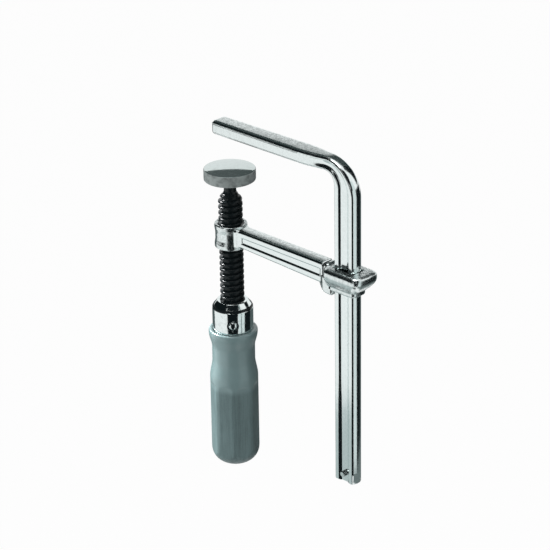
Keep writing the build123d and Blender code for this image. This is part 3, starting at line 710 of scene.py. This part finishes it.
def beam_stops(sizes, start, end, hollow, notch_at):
    """Places of the beam's sections, close together where its form changes."""
    fine = 0.4 * MM
    stops = [start + (end - start) * i / 40 for i in range(41)]
    stops += [place + fine * i for place in hollow for i in range(-2, 7)]
    stops += [hollow[1] - fine * i for i in range(7)]
    stops += [start + 0.5 * MM * i for i in range(14)]
    stops += [notch_at + sizes.notch * math.sin(math.radians(a)) * 1.1 for a in range(-90, 91, 15)]
    return sorted({stop for stop in (*stops, start, end) if start <= stop <= end})


def beam_rings(sizes):
    """Sections of the beam: two rounded ribs with a hollow between them, flared into the hub."""
    start, end = sizes.hub_radius - 2.2 * MM, sizes.eye_inner + 3.2 * MM
    hollow = first, last = sizes.hub_radius + sizes.hollow_margin, sizes.eye_inner - sizes.hollow_margin
    notch_at = sizes.eye_inner - sizes.notch
    run, draft, rib = 2 * MM, 0.3 * MM, 0.7 * MM
    rings = []
    for x in beam_stops(sizes, start, end, hollow, notch_at):
        t = x / end
        top = beam_top(sizes, t)
        roof = top - sizes.top_rib
        near = (1 - smoothstep(x, start + 1 * MM, start + 6 * MM)) ** 2
        half = sizes.beam_width / 2 + sizes.hub_flare * near
        height = sizes.beam_height + (sizes.beam_height_eye - sizes.beam_height) * t
        bottom = top - height - 1.0 * MM * near
        across = abs(x - notch_at)
        if across < sizes.notch:
            top -= math.sqrt(sizes.notch**2 - across**2)
        roof = min(roof, top - 0.5 * MM)
        deep = sizes.hollow * (smoothstep(x, first, first + run) - smoothstep(x, last - run, last))
        low = bottom + sizes.low_rib + (sizes.low_rib_eye - sizes.low_rib) * t
        outline = [
            (0, top + 0.02 * MM), (half, top - 0.1 * MM), (half, roof),
            (half - deep, roof - draft - 0.6 * deep), (half - deep, low + draft + 0.6 * deep),
            (half, low), (half, bottom), (0, bottom - 0.1 * MM),
        ]
        radii = [sizes.beam_round, rib, 2 * draft, 2 * draft, rib, sizes.beam_round]
        rings.append(section(x, rounded(outline, radii, 8)))
    return rings


def eye_ring(sizes, height, half, outer, inset, corner):
    """Plan outline of the eye at a height, drawn in by the inset."""
    start, neck, wide = sizes.eye_inner + inset, sizes.beam_width / 2 - inset, half - inset
    far = outer - inset
    outline = [(0, start), (neck, start), (wide, start + sizes.shoulder), (wide, far), (0, far)]
    ring = mirrored(rounded(outline, [1.2 * MM, 3.5 * MM, corner], 10))
    bow = sizes.end_bow
    return [Vector((x - bow * (y / half) ** 2 * smoothstep(x, start, outer), y, height)) for y, x in ring]


def window_ring(sizes, rail, ring, height, spread=0.0):
    """The rail's window, point for point nearest to the outline round it."""
    gap = sizes.window_gap + spread
    low, high, side = rail_inner(rail) - gap, RAIL_HIGH.x + gap, rail.thickness / 2 + gap
    return [Vector((min(max(p.x, low), high), min(max(p.y, -side), side), height)) for p in ring]


def eye_rings(sizes, rail):
    """Rings up the eye's outside, over its top, and down the rail's window."""
    top, outer = sizes.eye_top, CAD_BOX[1][0]
    band = top - sizes.eye_band
    foot = band - sizes.eye_taper
    bottom = foot - sizes.eye_foot
    under, over, seam = 1.3 * MM, sizes.eye_round, 0.4 * MM
    levels = [(bottom + under * (1 - math.cos(a)), 0, under * (1 - math.sin(a))) for a in quarter(4)]
    levels.append((foot - seam, 0, 0))
    levels += [(foot + sizes.eye_taper * i / 12, i / 12, 0) for i in range(13)]
    levels.append((band + seam, 1, 0))
    levels += [(top - over * (1 - math.sin(a)), 1, over * (1 - math.cos(a))) for a in quarter(8)]
    levels.append((top, 1, over + seam))
    rings = []
    for height, share, inset in levels:
        t = math.sin(math.pi / 2 * share)
        half = sizes.foot_width + (sizes.eye_width - sizes.foot_width) * t
        far = sizes.foot_outer + (outer - sizes.foot_outer) * t
        rings.append(eye_ring(sizes, height, half, far, inset, sizes.eye_corner * (0.7 + 0.3 * t)))
    first, last = rings[0], rings[-1]
    return rings + [
        window_ring(sizes, rail, last, top, 0.5 * MM),
        window_ring(sizes, rail, last, top - 0.5 * MM),
        window_ring(sizes, rail, first, bottom + seam),
        window_ring(sizes, rail, first, bottom, seam),
    ]


def heel_rings(sizes, rail):
    """Sections of the heel that bears on the rail below the beam."""
    start, end = sizes.eye_inner - sizes.heel_reach, rail_inner(rail) - sizes.window_gap
    lowest = sizes.eye_top - sizes.eye_band - sizes.eye_taper - sizes.eye_foot - sizes.heel_drop
    highest = beam_top(sizes, 1) - sizes.beam_height_eye + 1.5 * MM
    slim = sizes.beam_width / 2 - 0.4 * MM
    rings = []
    for i in range(25):
        t = i / 24
        drop = math.sqrt(max(1 - (1 - min(t / 0.86, 1)) ** 2, 0))
        bottom, top = highest + (lowest - highest) * drop, highest + 5 * MM
        half = slim + (sizes.foot_width - slim) * smoothstep(t, 0, 0.5)
        outline = [(0, top), (half, top), (half, bottom), (0, bottom - 0.01 * MM)]
        rings.append(section(start + (end - start) * t, rounded(outline, [0.5 * MM, 1.5 * MM], 6)))
    return rings


def hub_profile(sizes, bore):
    """Closed profile of the hub, waisted between its rims."""
    top, bottom, radius = sizes.hub_top, sizes.hub_top - sizes.hub_height, sizes.hub_radius
    waist, mouth, sink, rim, slope = radius - sizes.hub_waist, bore + 0.8 * MM, 0.9 * MM, 2.6 * MM, 5.5 * MM
    half = [(bore, sink), (mouth, 0), (radius, 0), (radius, rim), (waist, slope)]
    blends = [0.2 * MM, sizes.hub_round, 3 * MM, 6 * MM]
    corners = [(r, bottom + rise) for r, rise in half] + [(r, top - rise) for r, rise in reversed(half)]
    return rounded(corners + corners[:1], blends + blends[::-1] + blends[:1], 7)


def nut_mesh(sizes, screw, steel, bore):
    """The thread inside the hub: the screw's own, widened, cut at the hub's ends and closed on the bore."""
    nut = thread_mesh(screw, steel, sizes.nut_gap, 40 * MM)
    work = bmesh.new()
    work.from_mesh(nut)
    sink = 0.9 * MM
    for height, away in ((sizes.hub_top - sizes.hub_height + sink, -1), (sizes.hub_top - sink, 1)):
        everything = work.verts[:] + work.edges[:] + work.faces[:]
        cut = {"plane_co": (0, 0, height), "plane_no": (0, 0, away), "clear_outer": True}
        bmesh.ops.bisect_plane(work, geom=everything, **cut)
    rim = bmesh.ops.extrude_edge_only(work, edges=[e for e in work.edges if e.is_boundary])
    for vert in rim["geom"]:
        if isinstance(vert, bmesh.types.BMVert):
            vert.co.xy = vert.co.xy.normalized() * (bore + 0.3 * MM)
    bmesh.ops.recalc_face_normals(work, faces=work.faces)
    if sum(f.normal.xy.dot(f.calc_center_median().xy) for f in work.faces) > 0:
        bmesh.ops.reverse_faces(work, faces=work.faces)
    work.to_mesh(nut)
    work.free()
    return nut


class CLAMP_OT_arm(bpy.types.Operator):
    """Lofts the beam, the eye and its heel, turns the hub and threads it"""

    bl_idname = "clamp.arm"
    bl_label = "Sliding arm"

    def execute(self, context):
        scene, colours = context.scene, context.scene.clamp_finishes
        sizes, screw, rail = scene.clamp_arm, scene.clamp_screw, scene.clamp_rail
        seam = sizes.eye_inner - sizes.notch
        # The beam's finish paints shade into the notch at this seam.
        drawn = plated_steel("plated_arm", colours, (30, 1, 1), 0.14 * MM, 0.0, seam)
        cast = plated_steel("plated_hub", colours, (1, 1, 1), 1.0 * MM, 0.10)
        dark = black_steel("oiled_thread", colours)
        eye = loft(eye_rings(sizes, rail), tube=True)
        eye.set_sharp_from_angle(angle=math.radians(40))
        bore = screw.radius + sizes.nut_gap + 0.2 * MM
        new_piece("arm_beam", loft(beam_rings(sizes)), drawn, "arm", "sliding_arm")
        new_piece("arm_eye", eye, cast, "arm")
        new_piece("arm_heel", loft(heel_rings(sizes, rail)), cast, "arm")
        new_piece("arm_hub", lathe(hub_profile(sizes, bore), 144), cast, "arm")
        new_piece("hub_thread", nut_mesh(sizes, screw, dark, bore), dark, "arm")
        return {"FINISHED"}


# ---- Screw ----
def thread_tree():
    """Geometry nodes: a tube whose rows climb with the thread, raised into a rounded ridge."""
    tree = bpy.data.node_groups.new("Trapezoidal thread", "GeometryNodeTree")
    names = ("Radius", "Pitch", "Depth", "Top", "Run-in", "Bottom", "Neck", "Turns")
    for name in names:
        socket = tree.interface.new_socket(name, in_out="INPUT", socket_type="NodeSocketFloat")
        socket.default_value = 1.0
    tree.interface.new_socket("Steel", in_out="INPUT", socket_type="NodeSocketMaterial")
    tree.interface.new_socket("Mesh", in_out="OUTPUT", socket_type="NodeSocketGeometry")
    sheet = Sheet(tree)
    given = dict(zip((*names, "Steel"), sheet.add("NodeGroupInput")))
    around, per_turn = 72, 24
    counts = {"Vertices X": around + 1, "Vertices Y": given["Turns"] * per_turn + 1}
    grid = sheet.add("GeometryNodeMeshGrid", {"Size X": 1.0, "Size Y": 1.0, **counts})[0]
    x, y, _ = sheet.add("ShaderNodeSeparateXYZ", {0: sheet.add("GeometryNodeInputPosition")[0]})
    turn, rise = x + 0.5, (y + 0.5) * given["Turns"]
    height = given["Bottom"] - given["Pitch"] + (rise + turn) * given["Pitch"]
    from_crest = ((rise + 0.0005).math("FRACT") - 0.5).math("ABSOLUTE")
    ridge = from_crest.ramp(0.33, 0.155)
    grown = (given["Top"] - height) / given["Run-in"]
    slim = given["Neck"] - 0.15 * MM
    core = slim + (given["Radius"] - given["Depth"] - slim) * grown.ramp(-0.25, 0.55)
    radius = core + given["Depth"] * ridge * grown.ramp(0.0, 1.0)
    angle = turn * (2 * math.pi)
    spot = {"X": radius * angle.math("COSINE"), "Y": radius * angle.math("SINE"), "Z": height}
    place = sheet.add("ShaderNodeCombineXYZ", spot)[0]
    tube = sheet.add("GeometryNodeSetPosition", {"Geometry": grid, "Position": place})[0]
    closed = sheet.add("GeometryNodeMergeByDistance", {"Geometry": tube, "Distance": 0.001 * MM})[0]
    smooth = sheet.add("GeometryNodeSetShadeSmooth", {"Geometry": closed})[0]
    real = sheet.add("GeometryNodeRealizeInstances", {"Geometry": smooth})[0]
    done = sheet.add("GeometryNodeSetMaterial", {"Geometry": real, "Material": given["Steel"]})[0]
    sheet.add("NodeGroupOutput", {"Mesh": done})
    return tree


def thread_mesh(sizes, steel, gap=0.0, longer=0.0):
    """Bakes the thread's tube, widened by the gap and carried on above its top where asked."""
    piece = linked("thread", bpy.data.meshes.new("thread"))
    grow = piece.modifiers.new("Thread", "NODES")
    grow.node_group = bpy.data.node_groups.get("Trapezoidal thread") or thread_tree()
    top = sizes.top + longer
    values = {
        "Radius": sizes.radius + gap,
        "Pitch": sizes.pitch,
        "Depth": sizes.depth,
        "Top": top,
        "Run-in": sizes.run_in,
        "Bottom": sizes.bottom,
        "Neck": sizes.neck + gap,
        "Turns": float(math.ceil((top - sizes.bottom) / sizes.pitch) + 1),
        "Steel": steel,
    }
    for item in grow.node_group.interface.items_tree:
        if item.in_out == "INPUT":
            grow[item.identifier] = values[item.name]
    return baked(piece)


class CLAMP_OT_screw(bpy.types.Operator):
    """Grows the trapezoidal thread, and turns the neck, head and shank"""

    bl_idname = "clamp.screw"
    bl_label = "Screw"

    def execute(self, context):
        sizes = context.scene.clamp_screw
        steel = black_steel("black_screw", context.scene.clamp_finishes)
        work = bmesh.new()
        work.from_mesh(thread_mesh(sizes, steel))
        new_piece("screw_thread", closed_mesh(work), steel, "screw", "spindle")
        top, neck_end = SCREW_HIGH.z, sizes.top - 0.5 * sizes.run_in
        neck = [
            (0, top), (sizes.head - 0.8 * MM, top),
            (sizes.head, top - 0.8 * MM), (sizes.head, top - 2.2 * MM),
            (sizes.neck, top - 3.4 * MM), (sizes.neck, neck_end), (0, neck_end),
        ]
        new_piece("screw_neck", lathe(rounded(neck, 0.3 * MM), 72), steel, "screw")
        core, start, end = sizes.radius - sizes.depth - 0.1 * MM, sizes.bottom + 2 * MM, SCREW_LOW.z
        shank = [(0, start), (core, start), (core, end + 1 * MM), (core - 1 * MM, end), (0, end)]
        new_piece("screw_shank", lathe(shank, 48), steel, "screw")
        return {"FINISHED"}


# ---- Pad ----
class CLAMP_OT_pad(bpy.types.Operator):
    """Turns the pressure plate and finishes its ball and retaining ring"""

    bl_idname = "clamp.pad"
    bl_label = "Pressure plate"

    def execute(self, context):
        sizes, colours = context.scene.clamp_pad, context.scene.clamp_finishes
        radius, top, bottom = PAD_HIGH.x, PAD_HIGH.z, PAD_LOW.z
        skirt_top, socket_top, steps = bottom + sizes.skirt_height, bottom + sizes.socket, 24
        face = [(radius - sizes.edge) * i / steps for i in range(steps)]
        edge = [
            (radius - 1.6 * sizes.edge, top - sizes.crown * 0.85),
            (radius, top - sizes.crown), (radius, top - sizes.rim),
            (sizes.skirt + sizes.skirt_height, skirt_top), (sizes.skirt, skirt_top - 0.2 * MM),
            (sizes.skirt, bottom), (sizes.bore, bottom), (sizes.bore, socket_top), (0, socket_top),
        ]
        profile = [(r, top - sizes.crown * (r / radius) ** 2) for r in face] + rounded(edge, sizes.edge)
        satin = satin_steel("satin_pad", tuple(colours.pad))
        new_piece("pad_plate", lathe(profile, 144), satin, "pad", "pressure_plate")
        wear_only(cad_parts["pad_retaining_ring"].data, black_steel("black_ring", colours))
        wear_only(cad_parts["thrust_ball"].data, satin)
        return {"FINISHED"}


# ---- Ferrule and pin ----
def cross_bar(radius, half_length, turn, dome=0.0, shift=0.0):
    """A round bar across the screw's axis, with domed ends and moved along itself where asked."""
    end = [(radius * math.sin(a), -half_length + dome * (1 - math.cos(a))) for a in quarter(12)]
    mesh = lathe(end + [(r, -h) for r, h in reversed(end)], 64)
    lay = Matrix.Rotation(math.pi / 2, 4, "Y")
    mesh.transform(turn @ Matrix.Translation((shift, 0, 0)) @ lay)
    return mesh


def drilled(mesh, drills):
    """The mesh with the drills' shapes cut out."""
    piece = linked("work", mesh)
    cutters = [linked("drill", drill) for drill in drills]
    for cutter in cutters:
        cut = piece.modifiers.new("Drill", "BOOLEAN")
        cut.operation, cut.solver, cut.object = "DIFFERENCE", "EXACT", cutter
    result = baked(piece)
    for cutter in cutters:
        bpy.data.objects.remove(cutter)
    return result


class CLAMP_OT_ferrule(bpy.types.Operator):
    """Turns the ferrule, sinks a seat round the cross pin and fits the pin"""

    bl_idname = "clamp.ferrule"
    bl_label = "Ferrule and pin"

    def execute(self, context):
        sizes, colours = context.scene.clamp_ferrule, context.scene.clamp_finishes
        radius, top, bottom = FERRULE_HIGH.x, FERRULE_HIGH.z, FERRULE_LOW.z
        hole, line, cap = context.scene.clamp_screw.radius + 0.2 * MM, sizes.line, top - 3.2 * MM
        shoulder, inside = top - sizes.cone, radius - sizes.wall
        profile = [
            (hole, cap), (hole, top), (sizes.cone_top, top),
            (radius - line, shoulder), (radius - line, shoulder - line), (radius, shoulder - 2 * line),
            (radius, bottom), (inside, bottom), (inside, shoulder - 1.6 * MM),
            (sizes.cone_top, cap), (hole, cap),
        ]
        middle = Matrix.Translation((0, 0, (PIN_LOW.z + PIN_HIGH.z) / 2))
        turn = middle @ Matrix.Rotation(sizes.pin_angle, 4, "Z")
        away = 2 * radius - sizes.seat_depth
        drills = [cross_bar(sizes.seat, radius, turn, shift=shift) for shift in (away, -away)]
        drills.append(cross_bar(sizes.pin + 0.05 * MM, 2 * radius, turn))
        ferrule = drilled(lathe(rounded(profile, 0.35 * MM), 160), drills)
        ferrule.set_sharp_from_angle(angle=math.radians(35))
        plating = tuple(colours.plating)
        bright = turned_steel("bright_ferrule", plating, scaled(plating, 0.85), 0.08, 0.13)
        new_piece("turned_ferrule", ferrule, bright, "screw", "ferrule")
        # Painted shade: a black ring laid in the turned line stands in for the shadow there.
        groove, inner = shoulder - line, radius - 1.2 * MM
        ring = [
            (inner, groove + 1.5 * MM), (radius - 0.75 * MM, groove + 1.4 * MM),
            (radius - 0.1 * MM, groove + 0.1 * MM), (radius - 0.35 * MM, groove - 0.7 * MM),
            (inner, groove - 0.7 * MM), (inner, groove + 1.5 * MM),
        ]
        dark = black_steel("painted_shadow_line", colours)
        new_piece("ferrule_shadow_ring", lathe(rounded(ring, 0.3 * MM), 144), dark, "screw")
        pin = cross_bar(sizes.pin, radius + 0.5 * MM, turn, sizes.pin_dome)
        new_piece("cross_pin", pin, bright, "screw", "handle_pin")
        return {"FINISHED"}


# ---- Handle ----
def handle_radius(sizes, height):
    """Turned radius of the handle at a height."""
    below = sizes.lip_top - height
    lip, waist, over = sizes.lip, sizes.waist, sizes.lip_round
    if below < over:
        lip -= over - math.sqrt(over**2 - (over - below) ** 2)
    first = lip + (waist - lip) * smoothstep(below, 0.55 * sizes.lip_height, sizes.waist_start)
    waist_end = sizes.waist_start + sizes.waist_length
    radius = first + (sizes.body - waist) * smoothstep(below, waist_end, waist_end + sizes.flare)
    to_end, fullness = height - HANDLE_LOW.z, 2.35
    if to_end < sizes.dome:
        radius *= (1 - (1 - max(to_end, 0) / sizes.dome) ** fullness) ** (1 / fullness)
    return radius


def handle_ring(sizes, height, segments):
    """Points round the handle at a height, with its flats cut."""
    turned, share = handle_radius(sizes, height), 2 * math.pi / sizes.flats
    run_out, cutter, soft = max(height - sizes.flat_top, 0), 6 * MM, 0.06 * MM
    flat = sizes.body - sizes.flat_depth + run_out**2 / (2 * cutter)
    points = []
    for i in range(segments):
        a = 2 * math.pi * i / segments
        gap = turned - flat / math.cos(a % share - share / 2)
        radius = turned - (gap + math.sqrt(gap * gap + soft * soft)) / 2
        points.append(Vector((radius * math.cos(a), radius * math.sin(a), height)))
    return points


class CLAMP_OT_handle(bpy.types.Operator):
    """Turns the wooden handle and cuts its soft flats"""

    bl_idname = "clamp.handle"
    bl_label = "Handle"

    def execute(self, context):
        sizes = context.scene.clamp_handle
        top, bottom, fit = sizes.lip_top, HANDLE_LOW.z, 0.05 * MM
        segments, steps = 24 * sizes.flats, 110
        heights = [top - sizes.lip_round * (1 - math.cos(a)) for a in quarter(6)]
        start, end = heights[-1], bottom + sizes.dome
        heights += [start + (end - start) * i / steps for i in range(1, steps)]
        heights += [bottom + sizes.dome * math.cos(a) for a in quarter(30)[:-1]]
        rings = [circle(FERRULE_HIGH.x + fit, height, segments) for height in (FERRULE_LOW.z - fit, top)]
        rings += [handle_ring(sizes, height, segments) for height in heights]
        finish = lacquered_wood("lacquered_wood", context.scene.clamp_finishes, sizes.flat_top)
        new_piece("lacquered_handle", loft(rings), finish, "screw", "wooden_handle")
        return {"FINISHED"}


# ---- Stage, light and camera ----
BLACK = (0.006, 0.009, 0.010)
DIM = (0.09, 0.115, 0.116)
# Cards that only the metal reflects: name, direction from the camera's and width in degrees,
# lower and upper edge in degrees of height, distance in metres, tone
CARDS = (
    ("front", -2, 62, -40, 11, 0.9, BLACK),
    ("front_left", -23, 36, 11, 40, 0.89, BLACK),
    ("front_right", 23, 36, 11, 40, 0.89, BLACK),
    ("front_top", 0, 11, 21, 40, 0.89, BLACK),
    ("front_high", -5, 110, 40, 64, 0.88, BLACK),
    ("side", 52, 40, -42, 34, 0.91, (0.74, 0.80, 0.80)),
    ("right", 93, 46, -40, 10, 0.9, BLACK),
    ("rear_right", 145, 60, -42, -8, 0.92, DIM),
    ("rear_left", -151, 58, -42, -8, 0.9, DIM),
    ("left_high", -95, 100, -12, 72, 0.93, BLACK),
    ("left_top", -137, 70, 36, 60, 0.95, BLACK),
    ("rear_high", 180, 112, 27.1, 60, 0.9, (0.04, 0.055, 0.055)),
    ("right_high", 118, 44, 13, 57, 0.9, BLACK),
    ("low_left", -91, 100, -66, -36, 0.4, (0.50, 0.56, 0.56)),
    ("low_right", 86, 110, -66, -36, 0.42, (0.16, 0.19, 0.19)),
    ("low_front", -12, 56, -78, -40, 0.16, BLACK),
)
# Lamps: name, direction from the camera's and height in degrees, distance, width and height
# in metres, power, what it lights
LAMPS = (
    ("key", -104, -3, 0.85, 0.20, 0.42, 4.3, "matt"),
    ("fill", -25, 14, 1.3, 0.5, 0.5, 8.0, "matt"),
    ("top", -50, 72, 1.2, 0.6, 0.6, 4.0, "all"),
    ("gloss", -104, -3, 0.85, 0.18, 0.40, 1.6, "dark_pieces"),
    ("rim", -128, 38, 0.85, 0.2, 0.2, 22.0, "dark_pieces"),
)


def outward(azimuth, elevation=0.0):
    """Direction out from the clamp, with azimuth 0 in front of its near side."""
    flat = math.cos(elevation)
    return Vector((math.sin(azimuth) * flat, -math.cos(azimuth) * flat, math.sin(elevation)))


def add_card(studio, name, around, span, low, high, distance, tone):
    """Bends a card round the clamp that only its metal reflects."""
    work, columns, strips = bmesh.new(), [], 16
    for i in range(strips + 1):
        a = studio.azimuth + around + span * (i / strips - 0.5)
        foot = Vector(studio.target) + outward(a) * distance
        ends = [foot + Vector((0, 0, distance * math.tan(height))) for height in (low, high)]
        columns.append([work.verts.new(end) for end in ends])
    for first, second in zip(columns, columns[1:]):
        work.faces.new((first[0], second[0], second[1], first[1]))
    panel = linked("card_" + name, plain_mesh(work))
    finish = Finish("card_" + name)
    glow = finish.add("ShaderNodeEmission", {"Color": (*tone, 1), "Strength": 1.0})[0]
    wear_only(panel.data, finish.end(glow))
    for ray in ("camera", "diffuse", "shadow", "transmission"):
        setattr(panel, "visible_" + ray, False)


def add_lamp(studio, name, around, height, distance, wide, tall, power, lights):
    """Hangs a rectangular lamp that points at the clamp."""
    light = bpy.data.lights.new(name, "AREA")
    light.energy, light.shape, light.size, light.size_y = power, "RECTANGLE", wide, tall
    lamp = linked(name, light)
    out = outward(studio.azimuth + around, height)
    lamp.location = Vector(studio.target) + out * distance
    lamp.rotation_euler = out.to_track_quat("Z", "Y").to_euler()
    if lights == "dark_pieces":
        lamp.light_linking.receiver_collection = bpy.data.collections[lights]
    else:
        lamp.visible_glossy = lights == "all"


def lay_floor(studio):
    """Lays a pale floor that shows white and takes the clamp's shadow."""
    work = bmesh.new()
    bmesh.ops.create_grid(work, x_segments=1, y_segments=1, size=12)
    mesh = plain_mesh(work)
    mesh.transform(Matrix.Translation((0, 0, CAD_BOX[0][2] - studio.floor_drop)))
    floor = linked("floor", mesh)
    paper = Finish("pale_floor")
    glow = paper.add("ShaderNodeEmission", {"Color": (1, 1, 1, 1), "Strength": 1.0})[0]
    lit = paper.add("ShaderNodeBsdfDiffuse", {"Color": (0.86, 0.86, 0.86, 1)})[0]
    shade = paper.add("ShaderNodeMixShader", {0: paper.looked_at() * 0.97, 1: lit, 2: glow})[0]
    wear_only(mesh, paper.end(shade))


def light_world(scene, fill):
    """White wherever it is looked at, and an even light from all round."""
    scene.world = bpy.data.worlds.new("studio")
    scene.world.use_nodes = True
    sky = Sheet(scene.world.node_tree)
    inputs = {"Color": (1, 1, 1, 1), "Strength": sky.looked_at() * (1 - fill) + fill}
    glow = sky.add("ShaderNodeBackground", inputs)[0]
    sky.add("ShaderNodeOutputWorld", {"Surface": glow})


def place_camera(scene, studio):
    """Aims the camera at the clamp and rolls it."""
    view = bpy.data.cameras.new("camera")
    view.sensor_width = 36
    view.lens = studio.lens
    camera = linked("camera", view)
    back, right = outward(studio.azimuth, studio.elevation), outward(studio.azimuth + math.pi / 2)
    axes = Matrix((right, back.cross(right), back)).transposed().to_4x4()
    spot = Matrix.Translation(Vector(studio.target) + back * studio.distance)
    camera.matrix_world = spot @ axes @ Matrix.Rotation(studio.roll, 4, "Z")
    scene.camera = camera


class CLAMP_OT_stage(bpy.types.Operator):
    """Lays the pale floor, the lights and the studio cards, and places the camera"""

    bl_idname = "clamp.stage"
    bl_label = "Stage"

    def execute(self, context):
        scene, studio = context.scene, context.scene.clamp_studio
        lay_floor(studio)
        light_world(scene, studio.fill)
        for name, *angles, distance, tone in CARDS:
            add_card(studio, name, *map(math.radians, angles), distance, tone)
        bpy.data.collections.new("dark_pieces")
        for name, around, height, *rest in LAMPS:
            add_lamp(studio, name, math.radians(around), math.radians(height), *rest)
        place_camera(scene, studio)
        scene.view_settings.view_transform = "Standard"
        return {"FINISHED"}


class CLAMP_PT_panel(bpy.types.Panel):
    """Lists the clamp's pieces and sizes"""

    bl_idname = "CLAMP_PT_panel"
    bl_label = "F clamp"
    bl_space_type = "VIEW_3D"
    bl_region_type = "UI"
    bl_category = "Clamp"

    def draw(self, context):
        for piece in PIECES:
            self.layout.operator(piece.bl_idname)
        for name, group in GROUPS.items():
            self.layout.label(text=group.__doc__)
            for size in group.__annotations__:
                self.layout.prop(getattr(context.scene, name), size)


PIECES = (
    CLAMP_OT_stage,
    CLAMP_OT_rail,
    CLAMP_OT_arm,
    CLAMP_OT_screw,
    CLAMP_OT_pad,
    CLAMP_OT_ferrule,
    CLAMP_OT_handle,
)


def register():
    """Registers the clamp's sizes, pieces and panel."""
    for name, group in GROUPS.items():
        bpy.utils.register_class(group)
        setattr(bpy.types.Scene, name, PointerProperty(type=group))
    for piece in (*PIECES, CLAMP_PT_panel):
        bpy.utils.register_class(piece)


def unregister():
    """Removes what register added."""
    for piece in (*PIECES, CLAMP_PT_panel):
        bpy.utils.unregister_class(piece)
    for name, group in GROUPS.items():
        delattr(bpy.types.Scene, name)
        bpy.utils.unregister_class(group)


def main():
    """Builds every piece in order."""
    register()
    for piece in PIECES:
        group, name = piece.bl_idname.split(".")
        getattr(getattr(bpy.ops, group), name)()


if __name__ == "__main__":
    main()
